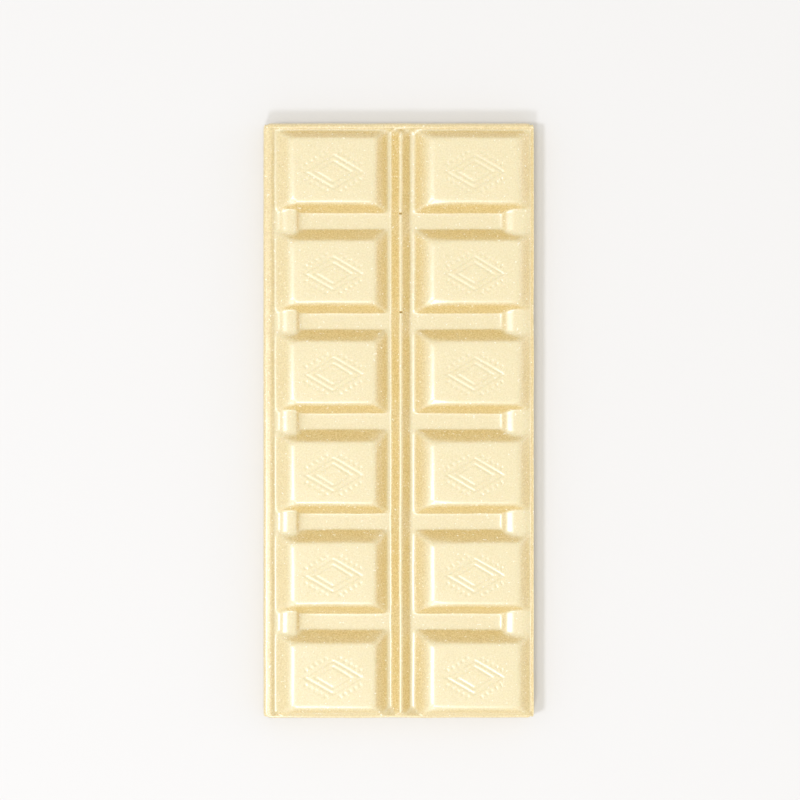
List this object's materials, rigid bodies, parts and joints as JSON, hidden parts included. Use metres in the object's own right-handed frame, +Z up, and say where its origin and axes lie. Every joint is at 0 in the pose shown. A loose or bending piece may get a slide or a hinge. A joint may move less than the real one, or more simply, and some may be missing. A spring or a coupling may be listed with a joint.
{
  "type": "chocolate bar",
  "caption": "Flat moulded bar of white chocolate with two columns of raised blocks, channels between them, a lengthwise ridge and a rounded rim.",
  "frame": {"origin": "middle of the flat back, on the surface that the bar lies on", "axes": "+X across the bar, +Y along its length, +Z up from the flat back to the moulded blocks"},
  "size_m": [0.071, 0.156, 0.0085],
  "materials": {
    "white_chocolate": "silky moulded white chocolate, cream coloured, with a soft sheen"
  },
  "bodies": {
    "root": {"bar": "white_chocolate"}
  },
  "joints": []
}
